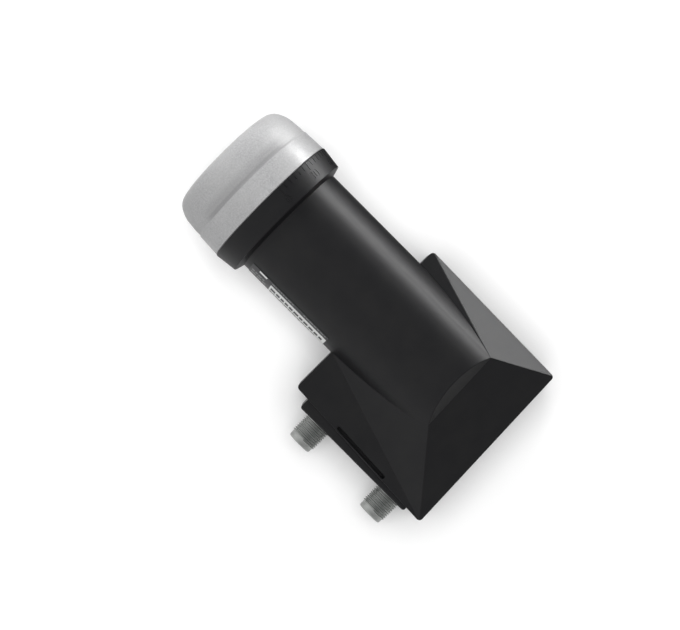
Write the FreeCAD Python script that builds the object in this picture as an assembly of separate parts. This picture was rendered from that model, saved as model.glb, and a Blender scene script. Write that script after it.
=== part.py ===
import FreeCAD, Part
import math
import os

# Twin-output satellite LNB. Two housing halves close round a cast feed horn, its circuit board and two
# threaded outputs. +X runs back along the neck, the outputs point to -Y and +Z is up. The part lies on the
# flat side of its housing. The origin is on the neck's axis, halfway along the length that a dish clamp holds.
# All sizes are in millimetres.

V = FreeCAD.Vector
AXIS_X = V(1, 0, 0)
AXIS_Y = V(0, 1, 0)
AXIS_Z = V(0, 0, 1)
SPAN = 300.0

# Neck, collar and housing walls
neck_r = 20.0
clamp_half = 19.65
wall = 2.0
collar_front_x = -28.0
collar_front_r = 24.1
collar_rear_x = -20.9
collar_rear_r = 23.25
collar_recess_r = (21.2, 22.4)
collar_recess_depth = 4.5
tongue_height = 1.4

# Box of the housing, seen from above: its back edge and the roof's chord lean by the same slope
rest_z = -24.1
rim_z = 3.0
box_front_x = clamp_half
front_right_y = 25.5
front_left_y = -35.5
back_right_y = 24.65
back_left_y = -38.1
back_x = 75.99
chord_x = 56.3
crown_x = 52.8
back_slope = 0.04
corner_r = 1.3
floor_edge_r = 1.2

# Connector plate and the outputs
plate_x = (25.1, 71.5)
plate_z = (-21.5, 0.9)
plate_face_y = -39.4
plate_back_y = -34.5
plate_flange = 1.6
plate_flange_y = -32.6
plate_chamfer = 0.5
plate_pocket_x = (42.5, 56.7)
slot_x = (37.9, 59.7)
slot_width = 1.25
slot_rib = 0.4
slot_depth = 4.1
output_x = {"front": 33.4, "rear": 65.8}
output_z = -15.0
output_tip_y = -48.7
thread_front_y = -47.2
thread_back_y = -39.6
thread_r = 4.76
tip_r = 4.3
relief_r = 4.5
shoulder_r = 5.2
shoulder_y = (-33.0, -31.2)
shank_r = 3.6
output_bore_r = 2.6
contact_r = 0.8
plate_hole_r = 4.9

# Feed cap
cap_face_x = -48.6
cap_wall = 1.7
cap_bore_r = 22.15
cap_profile = [
    (-28.0, 23.9),
    (-36.1, 23.55),
    (-36.5, 23.25),
    (-39.8, 23.1),
    (-42.3, 22.85),
    (-44.6, 22.1),
    (-46.6, 20.9),
    (-47.7, 19.4),
    (-48.1, 17.8),
]

# Feed horn and waveguide
horn_front_x = -42.6
groove_floor_x = -37.2
ring_radii = [(9.0, 10.3), (12.4, 13.5), (15.6, 16.7), (18.8, 20.0)]
horn_r = 20.0
seal_groove_x = (-34.4, -31.4)
seal_groove_r = 18.7
guide_r = 9.0
guide_outer_r = 11.5
guide_short_x = 44.4
guide_end_x = 47.0
centring_x = (-26.5, -23.5)

# Tray, board and cover
tray_x = (26.0, 72.0)
tray_y = (-27.0, 17.0)
tray_top_z = -10.0
tray_wall = 2.0
board_z = -12.0
board_thickness = 1.0
board_gap = 0.4
tray_rim_z = -20.0
cover_thickness = 1.0
cover_screw_r = 1.0
cover_boss_r = 2.3
cover_screw_spots = [(x, y) for x in (28.4, 69.6) for y in (-23.9, 14.5)]
partition = (34.0, 70.0, -3.0, -1.8)
tuning_spots = [(56.5, 5.5), (63.0, -11.0)]
tuning_screw_r = 2.0
puck_r = 2.7
puck_height = 2.2

# Probes that pick up the two polarisations
probe_r = 0.6
bush_r = 2.0
side_probe_x = 31.5
side_probe_leg_y = 12.4
pin_x = 35.8
pin_r = 0.9
floor_probe_x = 40.0
probe_reach = 3.4

# Screws that hold the two halves together
shell_screw_spots = [(24.9, -29.8), (73.2, -29.8), (25.2, 20.3), (70.6, 19.9)]
shell_boss_r = 2.4
shell_boss_split_z = -12.0
shell_screw_r = 1.1
shell_screw_top_z = -3.0
shell_head_r = 2.0
shell_head_height = 1.6

# Label on the neck: angles are about the neck's axis, from +Y towards +Z
label_x = (-17.4, 16.0)
label_angles = (150.0, 290.0)
label_thickness = 0.15


def revolved_about_x(outline):
    """Turn a closed outline of (x, radius) points about the neck's axis."""
    corners = [V(x, 0, r) for x, r in outline]
    face = Part.Face(Part.makePolygon(corners + corners[:1]))
    return face.revolve(V(0, 0, 0), AXIS_X, 360)


def revolved_about_output(outline, x):
    """Turn a closed outline of (y, radius) points about an output's axis."""
    corners = [V(x, y, output_z + r) for y, r in outline]
    face = Part.Face(Part.makePolygon(corners + corners[:1]))
    return face.revolve(V(x, 0, output_z), AXIS_Y, 360)


def block(x, y, z):
    """A box between two limits along each axis."""
    return Part.makeBox(x[1] - x[0], y[1] - y[0], z[1] - z[0], V(x[0], y[0], z[0]))


def post(r, x, y, z):
    """An upright cylinder between two heights."""
    return Part.makeCylinder(r, z[1] - z[0], V(x, y, z[0]), AXIS_Z)


def tube_x(r, x):
    """A cylinder on the neck's axis between two stations."""
    return Part.makeCylinder(r, x[1] - x[0], V(x[0], 0, 0), AXIS_X)


def beyond(point, normal):
    """A large block that fills the side of a plane that its normal points to."""
    side = Part.makeBox(SPAN, SPAN, SPAN, V(-SPAN / 2, -SPAN / 2, 0))
    side.Placement = FreeCAD.Placement(point, FreeCAD.Rotation(AXIS_Z, normal))
    return side


def fused(shapes):
    """One solid from shapes that touch or overlap."""
    whole = shapes[0].fuse(shapes[1:]) if len(shapes) > 1 else shapes[0]
    return whole.removeSplitter()


def roof_facets(inset):
    """The sloping facets as (point, upward normal), each moved in by the inset."""
    half = neck_r * math.sin(math.radians(45))
    front_right = V(box_front_x, front_right_y, rim_z)
    neck_edge = math.sqrt(neck_r**2 - rim_z**2)
    neck_left = V(box_front_x, -neck_edge, rim_z)
    neck_right = V(box_front_x, neck_edge, rim_z)
    back_right = V(back_x - back_slope * back_right_y, back_right_y, rim_z)
    back_left = V(back_x - back_slope * back_left_y, back_left_y, rim_z)
    chord_left = V(chord_x + back_slope * half, -half, half)
    chord_right = V(chord_x - back_slope * half, half, half)
    crown = V(crown_x, 0, neck_r)
    corners = {
        "rear": (chord_left, chord_right, back_right),
        "left": (neck_left, chord_left, back_left),
        "right": (front_right, chord_right, back_right),
        "front": (front_right, neck_right, chord_right),
        "crescent": (chord_left, chord_right, crown),
    }
    facets = {}
    for name, (a, b, c) in corners.items():
        normal = (b - a).cross(c - a)
        normal.normalize()
        if normal.z < 0:
            normal = normal.negative()
        facets[name] = (a - normal * inset, normal)
    return facets


def box_outline(inset):
    """The box seen from above, moved in by the inset on all four sides."""
    corners = [
        V(box_front_x, front_left_y, 0),
        V(back_x - back_slope * back_left_y, back_left_y, 0),
        V(back_x - back_slope * back_right_y, back_right_y, 0),
        V(box_front_x, front_right_y, 0),
    ]
    outline = Part.Face(Part.makePolygon(corners + corners[:1]))
    return outline.makeOffset2D(-inset, 2) if inset else outline


def upright_edges(solid):
    """The edges of a prism that run along Z."""
    return [e for e in solid.Edges if abs(e.Vertexes[0].Z - e.Vertexes[-1].Z) > 1.0]


def envelope(inset):
    """The whole housing as one solid, with every face moved in by the inset."""
    facets = roof_facets(inset)
    floor_z = rest_z + inset
    chord_z = (neck_r - inset) * math.sin(math.radians(45))
    prism = box_outline(inset).extrude(V(0, 0, chord_z - floor_z))
    prism.translate(V(0, 0, floor_z))
    if not inset:
        prism = prism.makeFillet(corner_r, upright_edges(prism))
        floor_edges = [e for e in prism.Edges if abs(e.BoundBox.ZMax - floor_z) < 0.01]
        prism = prism.makeFillet(floor_edge_r, floor_edges)
    roof = prism
    for name in ("rear", "left", "right", "front"):
        roof = roof.cut(beyond(*facets[name]))
    slab = prism.cut(beyond(V(0, 0, rim_z - inset), AXIS_Z))
    neck = tube_x(neck_r - inset, (collar_front_x, chord_x + 1))
    neck = neck.cut(beyond(*facets["crescent"]))
    return fused([slab, roof, neck])


def scale_collar():
    """The ring that is pushed over the horn and holds the front ends of both halves together."""
    inner_r, outer_r = collar_recess_r
    recess_end = collar_front_x + collar_recess_depth
    return revolved_about_x(
        [
            (collar_front_x, neck_r),
            (collar_front_x, inner_r),
            (recess_end, inner_r),
            (recess_end, outer_r),
            (collar_front_x, outer_r),
            (collar_front_x, collar_front_r - 0.3),
            (collar_front_x + 0.3, collar_front_r),
            (collar_rear_x, collar_rear_r),
            (-clamp_half, neck_r + 0.4),
            (-clamp_half, neck_r),
        ]
    )


def housing_halves():
    """The upper and lower halves, which meet at the neck's middle with a tongue inside the lower one."""
    outside = envelope(0)
    inside = envelope(wall)
    middle = envelope(wall / 2)
    skin = outside.cut(inside)
    above = block((-SPAN, SPAN), (-SPAN, SPAN), (0, SPAN))
    below = block((-SPAN, SPAN), (-SPAN, SPAN), (-SPAN, 0))
    tongue_band = block((-SPAN, SPAN), (-SPAN, SPAN), (-tongue_height, 0))
    tongue = middle.cut(inside).common(tongue_band)

    upper_bosses = []
    lower_bosses = []
    for x, y in shell_screw_spots:
        upper_bosses.append(post(shell_boss_r, x, y, (shell_boss_split_z, neck_r)).common(middle))
        lower_bosses.append(post(shell_boss_r, x, y, (rest_z + wall / 2, shell_boss_split_z)))
    upper = fused([skin.common(above), tongue] + upper_bosses)
    lower = fused([skin.common(below).cut(tongue)] + lower_bosses)
    for x, y in shell_screw_spots:
        upper = upper.cut(post(shell_screw_r, x, y, (shell_boss_split_z - 1, shell_screw_top_z)))
        lower = lower.cut(post(shell_screw_r + 0.2, x, y, (rest_z - 1, shell_boss_split_z + 1)))
        lower = lower.cut(post(shell_head_r + 0.2, x, y, (rest_z - 1, rest_z + wall)))
    upper = upper.cut(lower)

    opening = block(plate_x, (back_left_y - 5, plate_flange_y), plate_z)
    opening = opening.fuse(connector_plate_flange())
    upper = upper.cut(opening).cut(clip_slot())
    lower = lower.cut(opening)
    return upper.removeSplitter(), lower.removeSplitter()


def clip_slot():
    """A narrow slot with round ends along the roof's left edge, sunk into the connector plate below it."""
    r = slot_width / 2
    slope = (back_left_y - front_left_y) / (back_x - back_slope * back_left_y - box_front_x)
    bottom = rim_z - slot_depth
    height = slot_depth + 1
    ends = []
    for x in (slot_x[0] + r, slot_x[1] - r):
        edge_y = front_left_y + slope * (x - box_front_x)
        ends.append(V(x, edge_y + slot_rib + r, bottom))
    side = V(0, r, 0)
    floor = Part.Face(Part.makePolygon([ends[0] - side, ends[1] - side, ends[1] + side, ends[0] + side, ends[0] - side]))
    slot = floor.extrude(V(0, 0, height))
    for end in ends:
        slot = slot.fuse(Part.makeCylinder(r, height, end, AXIS_Z))
    return slot


def connector_plate_flange():
    """The plate's flange inside the housing, which fits against the inner face of its left wall."""
    x = (plate_x[0] - plate_flange, plate_x[1] + plate_flange)
    z = (plate_z[0] - 0.5, plate_z[1])
    return block(x, (back_left_y, plate_flange_y), z).common(envelope(wall))


def connector_plate():
    """The plate that both outputs pass through, trapped between the housing halves."""
    body = block(plate_x, (plate_face_y, plate_flange_y), plate_z)
    outer_edges = [e for e in body.Edges if abs(e.BoundBox.YMax - plate_face_y) < 0.01]
    body = body.makeChamfer(plate_chamfer, outer_edges)
    plate = fused([body, connector_plate_flange()])
    for x in output_x.values():
        plate = plate.cut(Part.makeCylinder(plate_hole_r, 20, V(x, plate_face_y - 5, output_z), AXIS_Y))
        pocket_start = V(x, plate_back_y, output_z)
        plate = plate.cut(Part.makeCylinder(shoulder_r + 0.1, 10, pocket_start, AXIS_Y))
    z = (plate_z[0] + wall, plate_z[1] - 2 * wall)
    plate = plate.cut(block(plate_pocket_x, (plate_face_y + wall, plate_flange_y + 1), z))
    return plate.cut(clip_slot()).removeSplitter()


def output_barrel(x):
    """One threaded output, from its tip to the shank that is held in the casting's wall."""
    shank_end = tray_y[0] + tray_wall
    outline = [
        (output_tip_y + 0.3, output_bore_r),
        (output_tip_y, output_bore_r + 0.4),
        (output_tip_y, tip_r - 0.3),
        (output_tip_y + 0.3, tip_r),
        (thread_front_y, tip_r),
        (thread_front_y, thread_r),
        (thread_back_y, thread_r),
        (thread_back_y, relief_r),
        (shoulder_y[0], relief_r),
        (shoulder_y[0], shoulder_r),
        (shoulder_y[1], shoulder_r),
        (shoulder_y[1], relief_r),
        (tray_y[0], relief_r),
        (tray_y[0], shank_r),
        (shank_end, shank_r),
        (shank_end, output_bore_r),
    ]
    return revolved_about_output(outline, x)


def output_insulator(x):
    """The white plastic core of an output, with a hole for the centre contact."""
    y = (output_tip_y + 0.9, tray_y[0] + tray_wall)
    core = Part.makeCylinder(output_bore_r, y[1] - y[0], V(x, y[0], output_z), AXIS_Y)
    return core.cut(Part.makeCylinder(contact_r, SPAN, V(x, -SPAN / 2, output_z), AXIS_Y))


def output_contact(x):
    """The sprung centre contact of an output, with a tail that reaches the board."""
    front_y = output_tip_y + 1.3
    tail_y = tray_y[0] + tray_wall + 2.0
    rod = Part.makeCylinder(contact_r, tail_y + contact_r - front_y, V(x, front_y, output_z), AXIS_Y)
    socket = Part.makeCylinder(contact_r - 0.35, 8, V(x, front_y - 1, output_z), AXIS_Y)
    board_face = board_z - board_thickness
    tail = post(0.5, x, tail_y, (output_z, board_face))
    return fused([rod.cut(socket), tail])


def output_seal(x):
    """The rubber washer between an output's shoulder and the connector plate."""
    outline = [
        (plate_back_y, relief_r),
        (plate_back_y, shoulder_r),
        (shoulder_y[0], shoulder_r),
        (shoulder_y[0], relief_r),
    ]
    return revolved_about_output(outline, x)


def feed_cap():
    """The light cap over the horn's mouth: a flared band, a fine step and a slightly crowned face."""
    outside = [V(x, 0, r) for x, r in cap_profile]
    edge_x, edge_r = cap_profile[-1]
    crown_height = edge_x - cap_face_x
    crown_r = (edge_r**2 + crown_height**2) / (2 * crown_height)
    middle_r = edge_r / 2
    middle_x = cap_face_x + crown_r - math.sqrt(crown_r**2 - middle_r**2)
    crown = Part.Arc(outside[-1], V(middle_x, 0, middle_r), V(cap_face_x, 0, 0)).toShape()
    rear_corner = V(collar_front_x, 0, 0)
    edges = [Part.makeLine(a, b) for a, b in zip(outside, outside[1:])]
    edges += [crown, Part.makeLine(crown.Vertexes[-1].Point, rear_corner), Part.makeLine(rear_corner, outside[0])]
    body = Part.Face(Part.Wire(edges)).revolve(V(0, 0, 0), AXIS_X, 360)
    hollow = revolved_about_x(
        [
            (collar_front_x + 1, 0),
            (collar_front_x + 1, cap_bore_r),
            (seal_groove_x[0] - 1.2, cap_bore_r),
            (horn_front_x, horn_r + 0.9),
            (-46.0, 19.0),
            (cap_face_x + cap_wall, 17.0),
            (cap_face_x + cap_wall, 0),
        ]
    )
    return body.cut(hollow)


def cap_seal_ring():
    """The rubber ring squeezed between the horn's groove and the cap's bore."""
    x0, x1 = seal_groove_x[0] + 0.25, seal_groove_x[1] - 0.25
    bevel = 0.45
    return revolved_about_x(
        [
            (x0, seal_groove_r + bevel),
            (x0, cap_bore_r - bevel),
            (x0 + bevel, cap_bore_r),
            (x1 - bevel, cap_bore_r),
            (x1, cap_bore_r - bevel),
            (x1, seal_groove_r + bevel),
            (x1 - bevel, seal_groove_r),
            (x0 + bevel, seal_groove_r),
        ]
    )


def horn_and_guide():
    """The corrugated horn and the round waveguide behind it, turned about the neck's axis."""
    outline = []
    for inner_r, outer_r in ring_radii:
        if outline:
            outline.append((groove_floor_x, inner_r))
        outline += [(horn_front_x, inner_r), (horn_front_x, outer_r), (groove_floor_x, outer_r)]
    outline.pop()
    outline += [
        (seal_groove_x[0], horn_r),
        (seal_groove_x[0], seal_groove_r),
        (seal_groove_x[1], seal_groove_r),
        (seal_groove_x[1], horn_r),
        (collar_front_x, horn_r),
        (collar_front_x, horn_r - 2.6),
        (groove_floor_x + 2.2, horn_r - 3.0),
        (groove_floor_x + 2.2, guide_outer_r + 1.2),
        (centring_x[0], guide_outer_r),
        (centring_x[0], neck_r - wall),
        (centring_x[1], neck_r - wall),
        (centring_x[1], guide_outer_r),
        (guide_end_x, guide_outer_r),
        (guide_end_x, 0),
        (guide_short_x, 0),
        (guide_short_x, guide_r),
    ]
    return revolved_about_x(outline)


def feed_horn_casting():
    """Horn, waveguide and shielded tray, cast in one piece."""
    tray = block(tray_x, tray_y, (tray_rim_z, tray_top_z))
    pocket_x = (tray_x[0] + tray_wall, tray_x[1] - tray_wall)
    pocket_y = (tray_y[0] + tray_wall, tray_y[1] - tray_wall)
    tray = tray.cut(block(pocket_x, pocket_y, (tray_rim_z - 1, board_z)))
    inside = block(pocket_x, pocket_y, (tray_rim_z, board_z))
    bosses = [post(cover_boss_r, x, y, (tray_rim_z, board_z)).common(inside) for x, y in cover_screw_spots]
    screen = block(partition[0:2], partition[2:4], (tray_rim_z, board_z - board_thickness))
    casting = fused([horn_and_guide(), tray, screen] + bosses)

    guide_bore = tube_x(guide_r, (horn_front_x - 1, guide_short_x))
    casting = casting.cut(guide_bore)
    for x, y in cover_screw_spots:
        casting = casting.cut(post(cover_screw_r, x, y, (tray_rim_z - 1, tray_rim_z + 5.5)))
    for x in output_x.values():
        casting = casting.cut(Part.makeCylinder(shank_r, 2 * tray_wall, V(x, tray_y[0] - 1, output_z), AXIS_Y))
    casting = casting.cut(post(bush_r, floor_probe_x, 0, (board_z, 0)))
    casting = casting.cut(Part.makeCylinder(bush_r, guide_outer_r + 1, V(side_probe_x, 0, 0), AXIS_Y))
    casting = casting.cut(post(bush_r, side_probe_x, side_probe_leg_y, (board_z - 1, tray_top_z + 1)))
    casting = casting.cut(isolation_pin())
    return casting.removeSplitter()


def isolation_pin():
    """The rod across the waveguide, behind the side probe."""
    reach = guide_outer_r - 0.5
    return Part.makeCylinder(pin_r, 2 * reach, V(pin_x, -reach, 0), AXIS_Y)


def floor_probe():
    """The upright probe, from the board into the waveguide."""
    return post(probe_r, floor_probe_x, 0, (board_z - board_thickness - 0.5, -probe_reach))


def side_probe():
    """The bent probe, up from the board and in through the waveguide's side."""
    y = side_probe_leg_y
    leg = post(probe_r, side_probe_x, y, (board_z - board_thickness - 0.5, 0))
    elbow = Part.makeSphere(probe_r, V(side_probe_x, y, 0))
    arm = Part.makeCylinder(probe_r, y - probe_reach, V(side_probe_x, probe_reach, 0), AXIS_Y)
    return fused([leg, elbow, arm])


def floor_probe_bush():
    """The plastic bush round the upright probe, in the casting's wall."""
    bush = post(bush_r, floor_probe_x, 0, (board_z, -guide_r + 0.3))
    bush = bush.cut(tube_x(guide_r, (floor_probe_x - 5, floor_probe_x + 5)))
    return bush.cut(floor_probe())


def side_probe_bush():
    """The plastic bush round the bent probe, in the waveguide's side."""
    start = guide_r - 0.3
    bush = Part.makeCylinder(bush_r, guide_outer_r - 0.3 - start, V(side_probe_x, start, 0), AXIS_Y)
    bush = bush.cut(tube_x(guide_r, (side_probe_x - 5, side_probe_x + 5)))
    return bush.cut(side_probe())


def circuit_board():
    """The board in the tray, notched round the tray's bosses and drilled for both probes."""
    inset = tray_wall + board_gap
    x = (tray_x[0] + inset, tray_x[1] - inset)
    y = (tray_y[0] + inset, tray_y[1] - inset)
    board = block(x, y, (board_z - board_thickness, board_z))
    for spot_x, spot_y in cover_screw_spots:
        board = board.cut(post(cover_boss_r + board_gap, spot_x, spot_y, (board_z - 2, board_z + 1)))
    for spot_x, spot_y in ((floor_probe_x, 0), (side_probe_x, side_probe_leg_y)):
        board = board.cut(post(probe_r, spot_x, spot_y, (board_z - 2, board_z + 1)))
    return board


def on_board(x, y, size):
    """A flat component of (length, width, height) on the board's lower face."""
    length, width, height = size
    face = board_z - board_thickness
    return block((x - length / 2, x + length / 2), (y - width / 2, y + width / 2), (face - height, face))


def mixer_chips():
    return [on_board(48.0, -11.0, (4.0, 4.0, 0.9)), on_board(48.0, 6.0, (4.0, 4.0, 0.9))]


def switch_chip():
    return [on_board(55.5, -18.0, (5.0, 5.0, 0.9))]


def voltage_regulators():
    return [on_board(39.5, -18.5, (6.5, 3.5, 1.6)), on_board(47.5, -18.5, (6.5, 3.5, 1.6))]


def amplifier_transistors():
    spots = [(34.0, 9.5), (40.5, 8.0), (41.5, 2.5), (41.5, -6.0)]
    return [on_board(x, y, (1.8, 1.3, 0.7)) for x, y in spots]


def capacitors():
    row = [on_board(36.0 + 3.6 * i, -8.8, (2.0, 1.2, 0.9)) for i in range(3)]
    column = [on_board(66.5, -6.5 + 3.4 * i, (1.2, 2.0, 0.9)) for i in range(6) if i not in (1, 2)]
    return row + column


def ceramic_resonators():
    face = board_z - board_thickness
    return [post(puck_r, x, y, (face - puck_height, face)) for x, y in tuning_spots]


def tuning_screws():
    """Brass screws in the cover, each over one ceramic resonator."""
    top = tray_rim_z + 2.4
    return [post(tuning_screw_r, x, y, (tray_rim_z - cover_thickness - 0.6, top)) for x, y in tuning_spots]


def board_cover():
    """The sheet that closes the tray, with holes for its screws and the tuning screws."""
    cover = block(tray_x, tray_y, (tray_rim_z - cover_thickness, tray_rim_z))
    for x, y in cover_screw_spots:
        cover = cover.cut(post(cover_screw_r, x, y, (tray_rim_z - 3, tray_rim_z + 1)))
    for x, y in tuning_spots:
        cover = cover.cut(post(tuning_screw_r, x, y, (tray_rim_z - 3, tray_rim_z + 1)))
    return cover


def headed_screw(x, y, shank_r, head_r, head_z, shank_top):
    """A screw with its head down and its shank above it."""
    head = post(head_r, x, y, head_z)
    return fused([head, post(shank_r, x, y, (head_z[1], shank_top))])


def cover_screws():
    seat = tray_rim_z - cover_thickness
    head_z = (seat - 0.9, seat)
    top = tray_rim_z + 5.0
    return [headed_screw(x, y, cover_screw_r, 1.8, head_z, top) for x, y in cover_screw_spots]


def shell_screws():
    seat = rest_z + wall
    head_z = (seat - shell_head_height, seat)
    top = shell_screw_top_z - 1.0
    return [headed_screw(x, y, shell_screw_r, shell_head_r, head_z, top) for x, y in shell_screw_spots]


def rating_label():
    """The label round the neck's left side, which runs on underneath."""
    outline = [
        V(label_x[0], neck_r, 0),
        V(label_x[1], neck_r, 0),
        V(label_x[1], neck_r + label_thickness, 0),
        V(label_x[0], neck_r + label_thickness, 0),
    ]
    face = Part.Face(Part.makePolygon(outline + outline[:1]))
    face.rotate(V(0, 0, 0), AXIS_X, label_angles[0])
    return face.revolve(V(0, 0, 0), AXIS_X, label_angles[1] - label_angles[0])


def build():
    """Every sub-part by its name: one solid, or a list of solids for a group of like pieces."""
    upper, lower = housing_halves()
    pieces = {
        "upper_shell": upper,
        "lower_shell": lower,
        "scale_collar": scale_collar(),
        "connector_plate": connector_plate(),
        "feed_cap": feed_cap(),
        "cap_seal_ring": cap_seal_ring(),
        "rating_label": rating_label(),
        "shell_screws": shell_screws(),
        "feed_horn_casting": feed_horn_casting(),
        "isolation_pin": isolation_pin(),
        "floor_probe": floor_probe(),
        "floor_probe_bush": floor_probe_bush(),
        "side_probe": side_probe(),
        "side_probe_bush": side_probe_bush(),
        "circuit_board": circuit_board(),
        "mixer_chips": mixer_chips(),
        "switch_chip": switch_chip(),
        "voltage_regulators": voltage_regulators(),
        "amplifier_transistors": amplifier_transistors(),
        "capacitors": capacitors(),
        "ceramic_resonators": ceramic_resonators(),
        "tuning_screws": tuning_screws(),
        "board_cover": board_cover(),
        "cover_screws": cover_screws(),
    }
    for place, x in output_x.items():
        pieces["f_connector_" + place] = output_barrel(x)
        pieces["f_insulator_" + place] = output_insulator(x)
        pieces["f_contact_" + place] = output_contact(x)
        pieces["f_seal_" + place] = output_seal(x)
    return pieces


def main():
    os.makedirs("parts", exist_ok=True)
    for name, shape in build().items():
        whole = Part.makeCompound(shape) if isinstance(shape, list) else shape
        whole.exportStep("parts/" + name + ".step")
        print(name, len(whole.Solids), "valid" if whole.isValid() else "NOT VALID", round(whole.Volume, 1))


main()
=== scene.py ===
"""Looks of a twin-output satellite LNB: housing, scale collar, feed cap, outputs and label."""

import math
import random

import bmesh
import bpy
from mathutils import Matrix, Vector
from mathutils.bvhtree import BVHTree


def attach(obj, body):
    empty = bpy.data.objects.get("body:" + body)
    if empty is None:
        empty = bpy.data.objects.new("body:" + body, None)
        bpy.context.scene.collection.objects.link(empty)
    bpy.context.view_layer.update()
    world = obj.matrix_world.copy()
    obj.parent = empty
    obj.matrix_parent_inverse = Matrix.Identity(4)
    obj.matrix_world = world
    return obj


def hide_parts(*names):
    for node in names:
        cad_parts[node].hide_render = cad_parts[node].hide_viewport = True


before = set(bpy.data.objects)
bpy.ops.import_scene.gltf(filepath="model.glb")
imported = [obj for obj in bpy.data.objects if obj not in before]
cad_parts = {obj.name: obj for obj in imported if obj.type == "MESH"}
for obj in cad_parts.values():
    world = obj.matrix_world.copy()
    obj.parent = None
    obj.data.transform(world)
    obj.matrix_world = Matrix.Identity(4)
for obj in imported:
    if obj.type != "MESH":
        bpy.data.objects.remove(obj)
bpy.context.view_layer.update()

MM = 0.001

# Sizes that the solids also have, in mm
neck_r = 20.0
rest_z = -24.1
clamp_half = 19.65
collar_front_x = -28.0
collar_front_r = 24.1
collar_rear_x = -20.9
collar_rear_r = 23.25
collar_recess_r = (21.2, 22.4)
collar_recess_end_x = -23.5
cap_bore_r = 22.15
cap_face_x = -48.6
output_xs = {"front": 33.4, "rear": 65.8}
output_z = -15.0
output_tip_y = -48.7
thread_front_y = -47.2
thread_back_y = -39.6
thread_r = 4.76
thread_pitch = 25.4 / 32
thread_depth = 0.43
tip_r = 4.3
bore_r = 2.6
shank_r = 4.5
shank_end_y = -25.0
shoulder_r = 5.2
shoulder_y = (-33.0, -31.2)
label_r = 20.15
wall = 2.0
shell_screw_spots = [(24.9, -29.8), (73.2, -29.8), (25.2, 20.3), (70.6, 19.9)]
shell_screw_r = 1.1
shell_screw_top_z = -4.0
shell_head_r = 2.0
shell_head_height = 1.6

# Sizes of the finer forms, in mm
edge_round = 0.25
plate_round = 0.15
seam_round = 0.13
weld_gap = 0.001
sliver_gap = 0.06
ink_gap = 0.0001
cap_edge_x = -48.1
cap_edge_r = 17.8
cap_band_end_x = -35.6
cap_band_end_r = 23.56
shoulder_ease = 0.1
tick_depth = 0.09
short_tick_x = -25.7
long_tick_x = -25.0
number_height = 3.0
number_x = -23.0
on_film = 0.03
on_panel = 0.06

# Angles, in degrees
flat_turn = 0.3
corner_turn = 22
seam_turn = 60
tick_step = 5
number_step = 30
scale_end = 180
scale_turn = 10.7

# Where the narrow slot is sunk beside the roof's left edge, with some room round it, in mm
slot_area_x = (36.0, 61.5)
slot_area_y = (-39.0, -33.5)
slot_area_top_z = 3.2


def linear(code):
    """An sRGB hex colour as the linear colour that a shader takes."""
    shares = [int(code[i : i + 2], 16) / 255 for i in (0, 2, 4)]
    parts = [p / 12.92 if p <= 0.04045 else ((p + 0.055) / 1.055) ** 2.4 for p in shares]
    return (*parts, 1.0)


def add_node(tree, kind, inputs=None, settings=None):
    """Adds a node. An input given as (node, output) becomes a link, and any other is its value."""
    made = tree.nodes.new(kind)
    for name, value in (settings or {}).items():
        setattr(made, name, value)
    for name, value in (inputs or {}).items():
        if isinstance(value, tuple) and isinstance(value[0], bpy.types.Node):
            tree.links.new(value[0].outputs[value[1]], made.inputs[name])
        else:
            made.inputs[name].default_value = value
    return made


def calculate(tree, operation, *values):
    """A node that adds, multiplies or the like, each value being a number or a (node, output)."""
    return add_node(tree, "ShaderNodeMath", dict(enumerate(values)), {"operation": operation})


def new_material(name):
    """A material with an empty node tree."""
    material = bpy.data.materials.new(name)
    material.use_nodes = True
    material.node_tree.nodes.clear()
    return material


def principled(tree, inputs):
    """Ends a material's tree with a Principled shader."""
    shader = add_node(tree, "ShaderNodeBsdfPrincipled", inputs)
    add_node(tree, "ShaderNodeOutputMaterial", {"Surface": (shader, "BSDF")})


def speckle(tree, size, detail=2.0, stretch=(1.0, 1.0, 1.0)):
    """Noise with grains of about the size in mm, longer along an axis whose stretch is under 1."""
    place = add_node(tree, "ShaderNodeTexCoord")
    mapping = add_node(tree, "ShaderNodeMapping", {"Vector": (place, "Object"), "Scale": stretch})
    inputs = {"Vector": (mapping, "Vector"), "Scale": 1 / (size * MM), "Detail": detail}
    return add_node(tree, "ShaderNodeTexNoise", inputs)


def spread(tree, source, low, high):
    """Maps a noise's middle range to the range from low to high."""
    inputs = {"Value": source, "From Min": 0.3, "From Max": 0.7, "To Min": low, "To Max": high}
    return add_node(tree, "ShaderNodeMapRange", inputs)


def ramp(tree, source, start, end, low=0.0, high=1.0):
    """A soft change from low to high as the source goes from start to end."""
    inputs = {"Value": source, "From Min": start, "From Max": end, "To Min": low, "To Max": high}
    return add_node(tree, "ShaderNodeMapRange", inputs, {"interpolation_type": "SMOOTHSTEP"})


def blend(tree, amount, colour_a, colour_b):
    """A mix of two colours; its result is output 2."""
    inputs = {0: amount, 6: colour_a, 7: colour_b}
    return add_node(tree, "ShaderNodeMix", inputs, {"data_type": "RGBA"})


def mottled(tree, noise, first, second, most=1.0):
    """Two colours mixed by a noise, with at most this share of the second; its result is output 2."""
    amount = spread(tree, (noise, 0), 0.0, most)
    return blend(tree, (amount, 0), first, second)


def bump(tree, height, depth):
    """Surface relief with its depth in mm."""
    return add_node(tree, "ShaderNodeBump", {"Height": height, "Distance": depth * MM, "Strength": 1.0})


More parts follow.
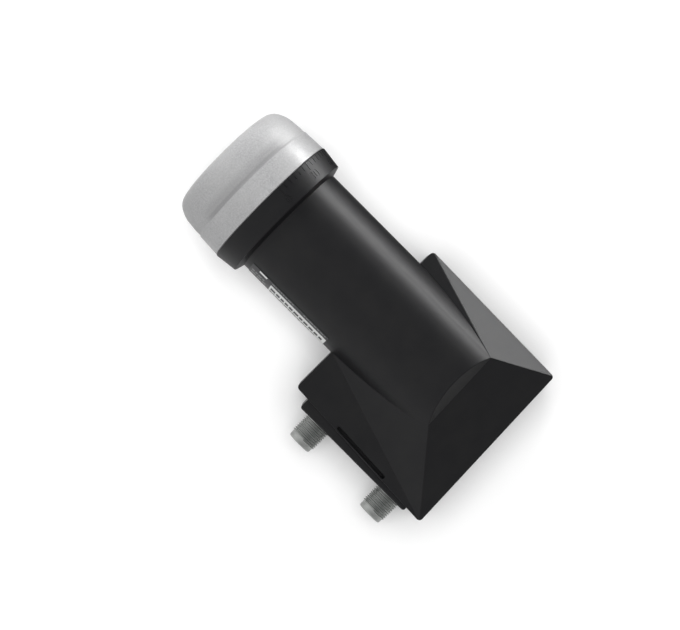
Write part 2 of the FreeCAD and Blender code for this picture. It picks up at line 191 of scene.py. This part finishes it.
def moulded_asa(name):
    """Black ASA moulded in a spark-eroded tool: a fine matt grain that spreads each highlight."""
    material = new_material(name)
    tree = material.node_tree
    grain = speckle(tree, 0.22, 3.0)
    cloud = speckle(tree, 7.0, 2.0)
    colour = mottled(tree, cloud, linear("161618"), linear("1a1a1b"))
    rough = spread(tree, (grain, 0), 0.40, 0.46)
    relief = bump(tree, (grain, 0), 0.004)
    inputs = {
        "Base Color": (colour, 2),
        "Roughness": (rough, 0),
        "Normal": (relief, 0),
        "Specular IOR Level": 0.27,
    }
    principled(tree, inputs)
    return material


def cap_asa(name):
    """Light grey ASA: a glossier turned band behind the step, a sandy face, and painted shade in and
    before the step.
    """
    material = new_material(name)
    tree = material.node_tree
    grain = speckle(tree, 0.5, 4.0)
    streak = speckle(tree, 0.5, 2.0, (1.0, 0.06, 0.06))
    cloud = speckle(tree, 12.0, 2.0)
    place = add_node(tree, "ShaderNodeTexCoord")
    along = add_node(tree, "ShaderNodeSeparateXYZ", {0: (place, "Object")})
    step = ((along, "X"), (cap_band_end_x - 0.4) * MM, cap_band_end_x * MM)
    band = ramp(tree, *step)
    shade_off_band = ramp(tree, *step, 1.0, 0.0)
    # Painted shade: it starts light on the face and is deepest just before the step
    thin = ramp(tree, (along, "X"), -41.0 * MM, -38.0 * MM, 0.0, 0.4)
    deep_shade = ramp(tree, (along, "X"), -37.4 * MM, -36.9 * MM, 0.0, 0.3)
    painted_shade = calculate(tree, "ADD", (thin, 0), (deep_shade, 0))
    before_step = calculate(tree, "MULTIPLY", (painted_shade, 0), (shade_off_band, 0))
    # The painted shade fades towards both sides: the dot product is 1 on the cap's highest line and 0 at
    # its sides
    inputs = {0: (place, "Object"), 1: (0.0, -2.2, 42.8)}
    height = add_node(tree, "ShaderNodeVectorMath", inputs, {"operation": "DOT_PRODUCT"})
    level = calculate(tree, "ABSOLUTE", (height, "Value"))
    shade_side_fade = ramp(tree, (level, 0), 0.58, 0.8)
    faded_painted_shade = calculate(tree, "MULTIPLY", (before_step, 0), (shade_side_fade, 0))
    grainy = mottled(tree, grain, linear("929293"), linear("acacad"))
    cloudy = mottled(tree, cloud, (grainy, 2), linear("aeaeae"), 0.5)
    # Painted shade: the colour darkens towards this grey in and before the step
    colour = blend(tree, (faded_painted_shade, 0), (cloudy, 2), linear("7c7c7d"))
    face_rough = spread(tree, (grain, 0), 0.45, 0.53)
    band_rough = spread(tree, (streak, 0), 0.32, 0.42)
    rough = add_node(tree, "ShaderNodeMix", {0: (band, 0), 2: (face_rough, 0), 3: (band_rough, 0)})
    fine = bump(tree, (grain, 0), 0.012)
    lines = bump(tree, (streak, 0), 0.05)
    tree.links.new(fine.outputs[0], lines.inputs["Normal"])
    inputs = {
        "Base Color": (colour, 2),
        "Roughness": (rough, 0),
        "Normal": (lines, 0),
        "Specular IOR Level": 0.85,
    }
    principled(tree, inputs)
    return material


def metal(name, dark, light, size, roughness, relief, stretch=(1.0, 1.0, 1.0)):
    """A bare or plated metal: its tone and its gloss vary with the same grain."""
    material = new_material(name)
    tree = material.node_tree
    grain = speckle(tree, size, 3.0, stretch)
    colour = mottled(tree, grain, linear(dark), linear(light))
    rough = spread(tree, (grain, 0), roughness - 0.06, roughness + 0.06)
    uneven = bump(tree, (grain, 0), relief)
    inputs = {
        "Base Color": (colour, 2),
        "Roughness": (rough, 0),
        "Normal": (uneven, 0),
        "Metallic": 1.0,
    }
    principled(tree, inputs)
    return material


def dull(name, dark, light, size, roughness, relief, gloss=0.5):
    """A material that isn't a metal: rubber, ceramic, film, ink, board or chip."""
    material = new_material(name)
    tree = material.node_tree
    grain = speckle(tree, size, 3.0)
    colour = mottled(tree, grain, linear(dark), linear(light))
    rough = spread(tree, (grain, 0), roughness - 0.05, roughness + 0.05)
    uneven = bump(tree, (grain, 0), relief)
    inputs = {
        "Base Color": (colour, 2),
        "Roughness": (rough, 0),
        "Normal": (uneven, 0),
        "Specular IOR Level": gloss,
    }
    principled(tree, inputs)
    return material


black_asa = moulded_asa("moulded_black_asa")
grey_asa = cap_asa("moulded_grey_asa")
# Nickel over turned brass: warm grey and satin, with fine turning marks round the barrel
nickel = metal("nickel_plated_brass", "a6a8a6", "c0c2c0", 0.3, 0.34, 0.003, (0.1, 1.0, 0.1))
# Zinc plated steel screws: cold grey with a faint crystal pattern
zinc = metal("zinc_plated_steel", "8f9296", "a9acb0", 0.8, 0.38, 0.004)
# Die-cast zinc alloy: dull, with flow marks and a pebbled skin
casting = metal("die_cast_zinc", "8d8f91", "a3a5a6", 1.6, 0.5, 0.02)
# Rolled tinned sheet: bright, with rolling lines along the tray
sheet = metal("tinned_steel_sheet", "a6a8a9", "bcbebf", 0.4, 0.3, 0.004, (0.05, 1.0, 1.0))
# Gold flashed brass of the probes, contacts and tuning screws
brass = metal("plated_brass", "b89653", "cfae66", 0.4, 0.28, 0.002)
# Black nitrile rubber: matt, with a faint bloom
rubber = dull("nitrile_rubber", "121212", "1d1d1d", 0.5, 0.8, 0.01, 0.3)
# White polyethylene insulators: waxy
insulator = dull("white_polyethylene", "e2e2dd", "ecece8", 2.0, 0.45, 0.004)
# Green solder mask over glass fibre laminate, with the weave's faint relief
laminate = dull("green_solder_mask", "1c4a2b", "225733", 0.7, 0.35, 0.008)
# Moulded epoxy of the chips
epoxy = dull("black_moulded_epoxy", "161616", "1e1e1e", 0.15, 0.55, 0.006)
# Fired ceramic of the capacitors and resonators
ceramic = dull("fired_ceramic", "a38a66", "b89f7b", 0.5, 0.6, 0.006)
# Satin polyester label film, printed dark grey
film = dull("dark_polyester_film", "2e2e30", "38383a", 3.0, 0.4, 0.001, 0.4)
# Screen printing inks on the label
white_ink = dull("white_ink", "dadbda", "e6e7e6", 0.6, 0.5, 0.001, 0.4)
grey_ink = dull("grey_ink", "7c7d7d", "8b8c8c", 0.6, 0.5, 0.001, 0.4)
dark_ink = dull("dark_ink", "333436", "3f4042", 0.6, 0.5, 0.001, 0.4)
# Black cloth of the studio's flag: swallows light, with a soft mottle
felt = dull("black_felt", "080808", "101010", 1.5, 0.95, 0.05, 0.1)


def as_object(name, bm, materials, convex=35, concave=35):
    """An object at the origin, smooth but crisp where its faces turn by more than these degrees."""
    for face in bm.faces:
        face.smooth = True
    for edge in bm.edges:
        turn = edge.calc_face_angle_signed(0.0) if len(edge.link_faces) == 2 else 0.0
        edge.smooth = -concave < math.degrees(turn) < convex
    mesh = bpy.data.meshes.new(name)
    bm.to_mesh(mesh)
    bm.free()
    for material in materials:
        mesh.materials.append(material)
    made = bpy.data.objects.new(name, mesh)
    bpy.context.scene.collection.objects.link(made)
    return made


def even_shading(piece):
    """Keeps large faces flat in the shading beside their rounded edges."""
    weighted = piece.modifiers.new("even_shading", "WEIGHTED_NORMAL")
    weighted.mode = "FACE_AREA_WITH_ANGLE"
    weighted.keep_sharp = True


def merged_node(node):
    """A bmesh of a CAD node's mesh with its loose triangles joined and its flat faces whole."""
    bm = bmesh.new()
    bm.from_mesh(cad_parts[node].data)
    bmesh.ops.remove_doubles(bm, verts=bm.verts, dist=weld_gap * MM)
    bmesh.ops.dissolve_limit(bm, angle_limit=math.radians(flat_turn), verts=bm.verts, edges=bm.edges)
    for face in bm.faces:
        face.material_index = 0
    return bm


def skin_tree(nodes):
    """A search tree over the nodes that make the part's skin."""
    skin = bmesh.new()
    for node in nodes:
        skin.from_mesh(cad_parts[node].data)
    tree = BVHTree.FromBMesh(skin)
    skin.free()
    return tree


def on_seam(edge):
    """True for an edge on the parting line between the halves, which is at height 0."""
    return all(abs(vert.co.z) < 0.01 * MM for vert in edge.verts)


def outer_corners(bm, skin, least_angle):
    """The convex edges that stand clear: looking out from them, the skin isn't in the way."""
    least = math.radians(least_angle)
    start_gap = 0.05 * MM
    found = []
    for edge in bm.edges:
        if len(edge.link_faces) != 2 or edge.calc_face_angle_signed(0.0) < least:
            continue
        sides = [face.normal for face in edge.link_faces]
        out = (sides[0] + sides[1]).normalized()
        start = (edge.verts[0].co + edge.verts[1].co) / 2 + out * start_gap
        looks = [out] if on_seam(edge) else [out] + sides
        if all(skin.ray_cast(start, look)[0] is None for look in looks):
            found.append(edge)
    return found


def beside_slot(point):
    """True near the slot, whose fine outline mustn't be merged."""
    in_length = slot_area_x[0] < point.x < slot_area_x[1]
    in_width = slot_area_y[0] < point.y < slot_area_y[1]
    return in_length and in_width and point.z < slot_area_top_z


def softened(node, name, skin, radius):
    """A copy of a moulded node with its outer corners rounded and its parting line eased."""
    bm = merged_node(node)
    corners = outer_corners(bm, skin, corner_turn)
    rest = [edge for edge in corners if not on_seam(edge)]
    common = {"affect": "EDGES", "profile": 0.5, "material": -1, "clamp_overlap": False}
    bmesh.ops.bevel(bm, geom=rest, offset=radius * MM, segments=3, **common)
    # Slivers that the rounding leaves where edges meet would show as thin dark lines
    loose = [vert for vert in bm.verts if not beside_slot(vert.co / MM)]
    bmesh.ops.remove_doubles(bm, verts=loose, dist=sliver_gap * MM)
    if len(rest) < len(corners):
        seam = [edge for edge in outer_corners(bm, skin, seam_turn) if on_seam(edge)]
        bmesh.ops.bevel(bm, geom=seam, offset=seam_round * MM, segments=1, **common)
    piece = as_object(name, bm, [black_asa], concave=12)
    even_shading(piece)
    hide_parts(node)
    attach(piece, "root")


def turned(outline, steps, axis="X", centre=(0.0, 0.0, 0.0), closed=True):
    """A bmesh turned about an axis from an outline of (distance along, radius) points in mm."""
    bm = bmesh.new()
    along = Vector({"X": (1, 0, 0), "Y": (0, 1, 0), "Z": (0, 0, 1)}[axis])
    out = Vector((1, 0, 0) if axis == "Z" else (0, 0, 1))
    middle = Vector(centre) * MM
    verts = [bm.verts.new(middle + (along * a + out * r) * MM) for a, r in outline]
    pairs = list(zip(verts, verts[1:]))
    if closed:
        pairs.append((verts[-1], verts[0]))
    edges = [bm.edges.new(pair) for pair in pairs]
    bmesh.ops.spin(
        bm,
        geom=verts + edges,
        cent=middle,
        axis=along,
        angle=math.tau,
        steps=steps,
        use_merge=True,
    )
    bmesh.ops.remove_doubles(bm, verts=bm.verts, dist=weld_gap * MM)
    bmesh.ops.recalc_face_normals(bm, faces=bm.faces)
    return bm


def cap_outline():
    """The cap's section: flared band, fine step, rounded shoulder, crowned face, then its hollow."""
    height = cap_edge_x - cap_face_x
    crown_r = (cap_edge_r**2 + height**2) / (2 * height)
    crown_x = cap_face_x + crown_r
    outside = [
        (collar_front_x, cap_bore_r),
        (collar_front_x, 23.7),
        (collar_front_x - 0.2, 23.9),
        (cap_band_end_x, cap_band_end_r),
        (-35.75, 23.51),
        (-35.95, 23.36),
        (-36.3, 23.28),
        (-36.7, 23.26),
        (-37.2, 23.29),
        (-38.0, 23.29),
        (-38.8, 23.22),
        (-39.8, 23.1),
        (-41.1, 23.0),
        (-42.3, 22.83),
        (-43.5, 22.52),
        (-44.6, 22.1),
        (-45.7, 21.55),
        (-46.6, 20.9),
        (-47.25, 20.2),
        (-47.7, 19.4),
        (-47.95, 18.6),
    ]
    radii = (cap_edge_r, 15.0, 12.0, 9.0, 6.0, 3.0, 0.0)
    crown = [(crown_x - math.sqrt(crown_r**2 - r**2), r) for r in radii]
    hollow = [(-46.9, 0.0), (-46.9, 17.0), (-46.0, 19.0), (-42.6, 20.9), (-35.6, cap_bore_r)]
    return outside + crown + hollow


def make_cap():
    """The feed cap, with the shallow step round it that the solid leaves out."""
    piece = as_object("cap", turned(cap_outline(), 144), [grey_asa], 30, 30)
    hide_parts("feed_cap")
    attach(piece, "root")


def cone_r(x):
    """The collar's outer radius, which falls a little towards the neck."""
    start = collar_front_x + 0.3
    share = (x - start) / (collar_rear_x - start)
    return collar_front_r + (collar_rear_r - collar_front_r) * share


def around_scale(point):
    """A point's angle on the scale, in degrees from the top towards the +Y side."""
    return (math.degrees(math.atan2(point.y, point.z)) - scale_turn) % 360


def number_solid(text, angle):
    """A number for the scale as a solid bent round the collar's skin, its top towards the cap."""
    size_to_height = 1.38
    half_thick = 0.45
    curve = bpy.data.curves.new("number", "FONT")
    curve.body = text
    curve.size = number_height * size_to_height * MM
    curve.extrude = half_thick * MM
    curve.align_x = "CENTER"
    curve.align_y = "CENTER"
    curve.resolution_u = 3
    holder = bpy.data.objects.new("number", curve)
    bpy.context.scene.collection.objects.link(holder)
    depsgraph = bpy.context.evaluated_depsgraph_get()
    mesh = bpy.data.meshes.new_from_object(holder.evaluated_get(depsgraph))
    bpy.data.objects.remove(holder)
    for vert in mesh.vertices:
        right, up, out = vert.co / MM
        x = number_x - up
        r = cone_r(x) + half_thick - tick_depth + out
        turn = math.radians(angle) + right / r
        vert.co = Vector((x, r * math.sin(turn), r * math.cos(turn))) * MM
    return mesh


def scale_numbers():
    """The numbers of the scale, from 0 at its top round the +Y side to 180."""
    cutter = bmesh.new()
    for turn in range(0, scale_end + 1, number_step):
        mesh = number_solid(str(turn), scale_turn + turn)
        cutter.from_mesh(mesh)
        bpy.data.meshes.remove(mesh)
    bmesh.ops.remove_doubles(cutter, verts=cutter.verts, dist=weld_gap * MM)
    bmesh.ops.recalc_face_normals(cutter, faces=cutter.faces)
    return as_object("scale_numbers", cutter, [black_asa])


def carve(piece, cutter):
    """Cuts the cutter's shape out of the piece and removes the cutter."""
    cut = piece.modifiers.new("carve", "BOOLEAN")
    cut.operation = "DIFFERENCE"
    cut.solver = "EXACT"
    cut.object = cutter
    bpy.context.view_layer.update()
    depsgraph = bpy.context.evaluated_depsgraph_get()
    carved = bpy.data.meshes.new_from_object(piece.evaluated_get(depsgraph))
    piece.modifiers.clear()
    piece.data = carved
    bpy.data.objects.remove(cutter)
    piece.data.set_sharp_from_angle(angle=math.radians(30))


def collar_outline():
    """The collar's section: its recess for the cap, its outside and its rear face down to the neck."""
    recess_in, recess_out = collar_recess_r
    front = collar_front_x
    return [
        (front, neck_r),
        (front, recess_in),
        (collar_recess_end_x, recess_in),
        (collar_recess_end_x, recess_out),
        (front, recess_out),
        (front, collar_front_r - 0.3),
        (front + 0.09, collar_front_r - 0.09),
        (front + 0.3, collar_front_r),
        (short_tick_x, cone_r(short_tick_x)),
        (long_tick_x, cone_r(long_tick_x)),
        (collar_rear_x + 0.15, cone_r(collar_rear_x + 0.15)),
        (collar_rear_x + 0.33, collar_rear_r - 0.08),
        (collar_rear_x + 0.43, collar_rear_r - 0.32),
        (-clamp_half - 0.13, neck_r + 0.5),
        (-clamp_half - 0.03, neck_r + 0.2),
        (-clamp_half, neck_r + 0.08),
        (-clamp_half, neck_r),
    ]


def off_mark(angle, spacing):
    """How far an angle is from the nearest mark of this spacing."""
    return min(angle % spacing, spacing - angle % spacing)


def on_tick(face, step):
    """True for a face of the collar's outside where a tick is, a step being a face's width in degrees."""
    middle = face.calc_center_median()
    x = middle.x / MM
    r = math.hypot(middle.y, middle.z) / MM
    if r < collar_front_r - 0.32 or x > long_tick_x or x < collar_front_x + 0.02:
        return False
    past = around_scale(middle)
    if scale_end + step < past < 360 - step:
        return False
    short = off_mark(past, tick_step) < step and x < short_tick_x
    return short or off_mark(past, number_step) < step


def make_collar():
    """The collar with its scale: sunk ticks from the front edge and sunk numbers behind them."""
    steps = 720
    bm = turned(collar_outline(), steps)
    ticks = [face for face in bm.faces if on_tick(face, 360 / steps)]
    bmesh.ops.inset_region(
        bm,
        faces=ticks,
        thickness=0.02 * MM,
        depth=-tick_depth * MM,
        use_even_offset=True,
    )
    piece = as_object("collar", bm, [black_asa], 30, 30)
    carve(piece, scale_numbers())
    even_shading(piece)
    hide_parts("scale_collar")
    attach(piece, "root")


def barrel_outline():
    """An output's section without its thread: tip, core, shoulder, shank and bore."""
    root = thread_r - thread_depth
    tip = output_tip_y
    shoulder_front, shoulder_back = shoulder_y
    nose_r = 3.6
    nose_y = shank_end_y - 2.0
    return [
        (tip + 0.25, bore_r),
        (tip, bore_r + 0.25),
        (tip, tip_r - 0.45),
        (tip + 0.1, tip_r - 0.22),
        (tip + 0.3, tip_r - 0.05),
        (tip + 0.6, tip_r),
        (thread_front_y - 0.05, tip_r),
        (thread_front_y, root),
        (thread_back_y, root),
        (thread_back_y + 0.05, shank_r),
        (shoulder_front, shank_r),
        (shoulder_front, shoulder_r - shoulder_ease),
        (shoulder_front + shoulder_ease, shoulder_r),
        (shoulder_back - shoulder_ease, shoulder_r),
        (shoulder_back, shoulder_r - shoulder_ease),
        (shoulder_back, shank_r),
        (nose_y, shank_r),
        (nose_y, nose_r),
        (shank_end_y, nose_r),
        (shank_end_y, bore_r),
    ]


def thread_rib(x):
    """The rolled 3/8 inch thread as one rib wound round the barrel, fading in at both its ends."""
    sunk_r = thread_r - thread_depth - 0.12
    crest_half = 0.09
    foot_half = 0.36
    fade = 0.55
    end_share = 0.45
    steps = 48
    turns = (thread_back_y - thread_front_y) / thread_pitch - 2 * end_share
    start = thread_front_y + thread_pitch * end_share
    section = [
        (-foot_half, sunk_r),
        (-crest_half, thread_r),
        (crest_half, thread_r),
        (foot_half, sunk_r),
    ]
    centre = Vector((x, 0, output_z)) * MM
    bm = bmesh.new()
    verts = [bm.verts.new(centre + Vector((0, start + a, r)) * MM) for a, r in section]
    face = bm.faces.new(verts)
    bmesh.ops.spin(
        bm,
        geom=[face] + list(face.edges) + verts,
        cent=centre,
        axis=(0, 1, 0),
        dvec=(0, thread_pitch * MM / steps, 0),
        angle=turns * math.tau,
        steps=round(turns * steps),
    )
    for vert in bm.verts:
        away = vert.co - centre
        along = away.y / MM
        r = math.hypot(away.x, away.z) / MM
        room = min(along - thread_front_y, thread_back_y - along)
        limit = sunk_r + (thread_r - sunk_r) * min(max(room, 0.0) / fade, 1.0)
        if r > limit:
            vert.co.x = centre.x + away.x * limit / r
            vert.co.z = centre.z + away.z * limit / r
    bmesh.ops.recalc_face_normals(bm, faces=bm.faces)
    return bm


def make_output(which):
    """One threaded output: its turned barrel and the rib of its thread."""
    x = output_xs[which]
    bm = turned(barrel_outline(), 96, axis="Y", centre=(x, 0.0, output_z))
    rib = thread_rib(x)
    rib_mesh = bpy.data.meshes.new("rib")
    rib.to_mesh(rib_mesh)
    rib.free()
    bm.from_mesh(rib_mesh)
    bpy.data.meshes.remove(rib_mesh)
    piece = as_object("output_" + which, bm, [nickel], 32, 32)
    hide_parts("f_connector_" + which)
    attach(piece, "root")


def printed(bm, x, angles, lift, ink):
    """One field of ink on the label, from x[0] to x[1], bent round the neck between two angles."""
    piece_angle = 3
    pieces = max(1, round(abs(angles[1] - angles[0]) / piece_angle))
    made = bmesh.ops.create_grid(bm, x_segments=1, y_segments=pieces, size=0.5)["verts"]
    radius = label_r + lift
    faces = set()
    for vert in made:
        u, v = vert.co.x + 0.5, vert.co.y + 0.5
        angle = math.radians(angles[0] + (angles[1] - angles[0]) * v)
        along = x[0] + (x[1] - x[0]) * u
        vert.co = Vector((along, radius * math.cos(angle), radius * math.sin(angle))) * MM
        faces.update(vert.link_faces)
    for face in faces:
        face.material_index = ink


def printed_words(bm, rng, x, angles, lift, ink, lengths, gap):
    """A row of plain bars of mixed lengths, with a gap after each."""
    along = x[0]
    while along < x[1] - lengths[0]:
        length = min(rng.uniform(*lengths), x[1] - along)
        printed(bm, (along, along + length), angles, lift, ink)
        along += length + gap


def make_label_print():
    """The label's print as plain fields and bars: a white panel with dark rows, and grey rows."""
    rng = random.Random(7)
    bm = bmesh.new()
    white, grey, dark = 0, 1, 2
    printed(bm, (-14.2, -10.9), (150.9, 153.6), on_film, white)
    printed_words(bm, rng, (-16.6, -10.2), (158.5, 161.5), on_film, grey, (0.8, 1.7), 0.35)
    printed_words(bm, rng, (-16.6, -10.2), (164.0, 168.5), on_film, grey, (1.4, 2.6), 0.5)
    printed_words(bm, rng, (-8.6, 1.4), (151.3, 152.8), on_film, grey, (0.6, 1.6), 0.3)
    printed_words(bm, rng, (5.2, 15.8), (151.3, 152.8), on_film, grey, (0.6, 1.6), 0.3)
    printed(bm, (-8.7, 15.8), (155.9, 212.0), on_film, white)
    printed_words(bm, rng, (-8.1, 14.6), (160.6, 165.6), on_panel, dark, (1.2, 2.1), 0.55)
    for row in range(3):
        top = 170.0 + 5.0 * row
        ends = (-8.1, 12.0 - 3 * row)
        printed_words(bm, rng, ends, (top, top + 2.2), on_panel, dark, (0.8, 2.4), 0.4)
    along = -8.0
    while along < 7.5:
        width = rng.choice((0.22, 0.22, 0.44, 0.66))
        printed(bm, (along, along + width), (188.0, 208.0), on_panel, dark)
        along += width + rng.choice((0.25, 0.25, 0.5))
    printed(bm, (9.6, 15.0), (190.0, 206.0), on_panel, grey)
    for row in range(9):
        top = 218.0 + 7.2 * row
        ends = (-16.4, 15.4 - 5.5 * (row % 3))
        printed_words(bm, rng, ends, (top, top + 2.6), on_film, grey, (0.9, 3.2), 0.5)
    bmesh.ops.remove_doubles(bm, verts=bm.verts, dist=ink_gap * MM)
    bmesh.ops.recalc_face_normals(bm, faces=bm.faces)
    for face in bm.faces:
        middle = face.calc_center_median()
        if face.normal.dot(Vector((0, middle.y, middle.z))) < 0:
            face.normal_flip()
    piece = as_object("label_print", bm, [white_ink, grey_ink, dark_ink])
    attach(piece, "root")


def cross_cutter(x, y, mouth):
    """A tapered cross for a screw's driver, from just outside the head's mouth up into it."""
    half = 0.23
    mouth_reach = 1.15
    floor_reach = 0.55
    depth = 1.0
    cutter = bmesh.new()
    rings = []
    for z, reach in ((mouth - 0.3, mouth_reach), (mouth + depth, floor_reach)):
        quarter = [(reach, -half), (reach, half), (half, half)]
        corners = []
        for turn in range(4):
            corners += quarter
            quarter = [(-b, a) for a, b in quarter]
        rings.append([cutter.verts.new(Vector((x + a, y + b, z)) * MM) for a, b in corners])
    low, high = rings
    cutter.faces.new(low)
    cutter.faces.new(high)
    for i in range(len(low)):
        cutter.faces.new((low[i - 1], low[i], high[i], high[i - 1]))
    bmesh.ops.recalc_face_normals(cutter, faces=cutter.faces)
    return cutter


def make_shell_screws():
    """The four screws on the hidden side: low round heads with a cross for the driver."""
    seat = rest_z + wall
    head = seat - shell_head_height
    tip_ease = 0.3
    outline = [
        (head, 0.0),
        (head, 1.3),
        (head + 0.12, 1.65),
        (head + 0.4, 1.9),
        (head + 0.75, shell_head_r),
        (seat, shell_head_r),
        (seat, shell_screw_r),
        (shell_screw_top_z - tip_ease, shell_screw_r),
        (shell_screw_top_z, shell_screw_r - tip_ease),
        (shell_screw_top_z, 0.0),
    ]
    screws = bmesh.new()
    for x, y in shell_screw_spots:
        bm = turned(outline, 48, "Z", (x, y, 0.0), closed=False)
        screw = as_object("screw", bm, [zinc], 30, 30)
        carve(screw, as_object("cross", cross_cutter(x, y, head), [zinc]))
        screws.from_mesh(screw.data)
        bpy.data.objects.remove(screw)
    piece = as_object("housing_screws", screws, [zinc], 30, 30)
    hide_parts("shell_screws")
    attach(piece, "root")


def dress_nodes():
    """Gives each CAD node that stays its finish."""
    finishes = {
        grey_asa: ["feed_cap"],
        black_asa: ["upper_shell", "lower_shell", "scale_collar", "connector_plate"],
        rubber: ["cap_seal_ring", "f_seal_front", "f_seal_rear"],
        film: ["rating_label"],
        zinc: ["shell_screws", "cover_screws"],
        casting: ["feed_horn_casting"],
        brass: [
            "isolation_pin",
            "floor_probe",
            "side_probe",
            "tuning_screws",
            "f_contact_front",
            "f_contact_rear",
        ],
        insulator: ["floor_probe_bush", "side_probe_bush", "f_insulator_front", "f_insulator_rear"],
        laminate: ["circuit_board"],
        epoxy: ["mixer_chips", "switch_chip", "voltage_regulators", "amplifier_transistors"],
        ceramic: ["capacitors", "ceramic_resonators"],
        sheet: ["board_cover"],
        nickel: ["f_connector_front", "f_connector_rear"],
    }
    for material, nodes in finishes.items():
        for node in nodes:
            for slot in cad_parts[node].material_slots:
                slot.material = material


def studio_floor():
    """The white floor that the part lies on: it looks white where no shadow falls on it, and a shadow
    halo round the part is painted into its glow.
    """
    shadow_reach = 16 * MM
    open_lift = 0.5
    far_lift = 0.5
    far_start = 0.3
    far_end = 1.5
    mirrored_lift = 0.12
    bm = bmesh.new()
    bmesh.ops.create_grid(bm, x_segments=8, y_segments=8, size=4.0)
    bmesh.ops.translate(bm, verts=bm.verts, vec=(0, 0, rest_z * MM))
    material = new_material("white_studio_floor")
    tree = material.node_tree
    seen = add_node(tree, "ShaderNodeLightPath")
    mirrored = calculate(tree, "MAXIMUM", (seen, "Is Glossy Ray"), (seen, "Is Transmission Ray"))
    # Painted shadow: the glow that the camera sees is weaker where the part is within shadow_reach,
    # darkening a halo round it
    sky = add_node(tree, "ShaderNodeAmbientOcclusion", {"Distance": shadow_reach}, {"samples": 16})
    place = add_node(tree, "ShaderNodeTexCoord")
    away = add_node(tree, "ShaderNodeVectorMath", {0: (place, "Object")}, {"operation": "LENGTH"})
    far = ramp(tree, (away, "Value"), far_start, far_end, 0.0, far_lift)
    glow_with_painted_halo = calculate(tree, "MULTIPLY_ADD", (sky, "AO"), open_lift, (far, 0))
    in_view = calculate(tree, "MULTIPLY", (seen, "Is Camera Ray"), (glow_with_painted_halo, 0))
    lift = calculate(tree, "MULTIPLY_ADD", (mirrored, 0), mirrored_lift, (in_view, 0))
    paint = add_node(tree, "ShaderNodeBsdfDiffuse", {"Color": linear("d0d0d0")})
    glow = add_node(tree, "ShaderNodeEmission", {"Color": (1, 1, 1, 1), "Strength": (lift, 0)})
    both = add_node(tree, "ShaderNodeAddShader", {0: (paint, 0), 1: (glow, 0)})
    add_node(tree, "ShaderNodeOutputMaterial", {"Surface": (both, 0)})
    floor = as_object("studio_floor", bm, [material])


def studio_world():
    """A pale room, brightest in front of the cap and dimmest behind the housing."""
    middle_strength = 0.48
    brighter_towards = (-0.28, -0.35, -0.1)
    world = bpy.data.worlds.new("pale_studio")
    bpy.context.scene.world = world
    world.use_nodes = True
    tree = world.node_tree
    tree.nodes.clear()
    place = add_node(tree, "ShaderNodeTexCoord")
    inputs = {0: (place, "Generated"), 1: brighter_towards}
    side = add_node(tree, "ShaderNodeVectorMath", inputs, {"operation": "DOT_PRODUCT"})
    strength = calculate(tree, "ADD", (side, "Value"), middle_strength)
    sky = add_node(tree, "ShaderNodeBackground", {"Color": (1, 1, 1, 1), "Strength": (strength, 0)})
    add_node(tree, "ShaderNodeOutputWorld", {"Surface": (sky, 0)})


def softbox(name, place, target, size, brightness, matt, gloss):
    """A rectangular lamp of a brightness, where 1 is white, for matt or glossy light paths."""
    lamp = bpy.data.lights.new(name, "AREA")
    lamp.shape = "RECTANGLE"
    lamp.size = size[0]
    lamp.size_y = size[1]
    lamp.energy = brightness * math.pi * size[0] * size[1]
    holder = bpy.data.objects.new(name, lamp)
    holder.location = place
    holder.rotation_euler = (Vector(target) - Vector(place)).to_track_quat("-Z", "Y").to_euler()
    holder.visible_camera = False
    holder.visible_diffuse = matt
    holder.visible_glossy = gloss
    bpy.context.scene.collection.objects.link(holder)


def black_flag():
    """A black card beside the neck, seen by glossy light paths only, for the neck's dark streak."""
    size = (0.24, 0.056, 1.0)
    middle = (0.02, 0.059, (rest_z + 0.5) * MM)
    bm = bmesh.new()
    bmesh.ops.create_grid(bm, x_segments=4, y_segments=4, size=0.5)
    bmesh.ops.scale(bm, verts=bm.verts, vec=size)
    bmesh.ops.translate(bm, verts=bm.verts, vec=middle)
    card = as_object("black_flag", bm, [felt])
    card.visible_camera = False
    card.visible_diffuse = False
    card.visible_shadow = False
    card.visible_transmission = False


def camera():
    """The photograph's view: straight down, turned so that the neck runs up to the left."""
    height = 0.605
    turn = 45.16
    lens = bpy.data.cameras.new("photo_camera")
    lens.lens = 100.6
    lens.sensor_width = 36.0
    lens.sensor_fit = "HORIZONTAL"
    holder = bpy.data.objects.new("photo_camera", lens)
    holder.location = (0.0132, -0.00965, height)
    holder.rotation_euler = (0, 0, math.radians(turn))
    bpy.context.scene.collection.objects.link(holder)
    bpy.context.scene.camera = holder


skin = skin_tree(["upper_shell", "lower_shell", "connector_plate", "scale_collar"])
dress_nodes()
softened("upper_shell", "upper_half", skin, edge_round)
softened("lower_shell", "lower_half", skin, edge_round)
softened("connector_plate", "output_plate", skin, plate_round)
make_cap()
make_collar()
make_output("front")
make_output("rear")
make_label_print()
make_shell_screws()

studio_floor()
black_flag()
studio_world()

# The lamps' places, targets and sizes, in metres
softbox("low_strip", (0.04, 0.42, 0.01), (0.04, 0, 0.0), (0.4, 0.064), 24.0, False, True)
softbox("side_fill", (0.015, 0.42, 0.06), (0.015, 0, 0.0), (0.5, 0.3), 1.4, True, False)
softbox("overhead", (0.015, 0.0, 0.75), (0.015, 0, 0.0), (0.55, 0.55), 3.4, True, False)
softbox("key", (-0.4, 0.4, 0.1), (-0.02, 0, 0.0), (0.3, 0.2), 14.0, True, False)
softbox("back_card", (0.7, 0, 0.3), (0.06, 0, 0.0), (0.8, 0.5), 0.25, False, True)
camera()
bpy.context.scene.view_settings.view_transform = "Standard"
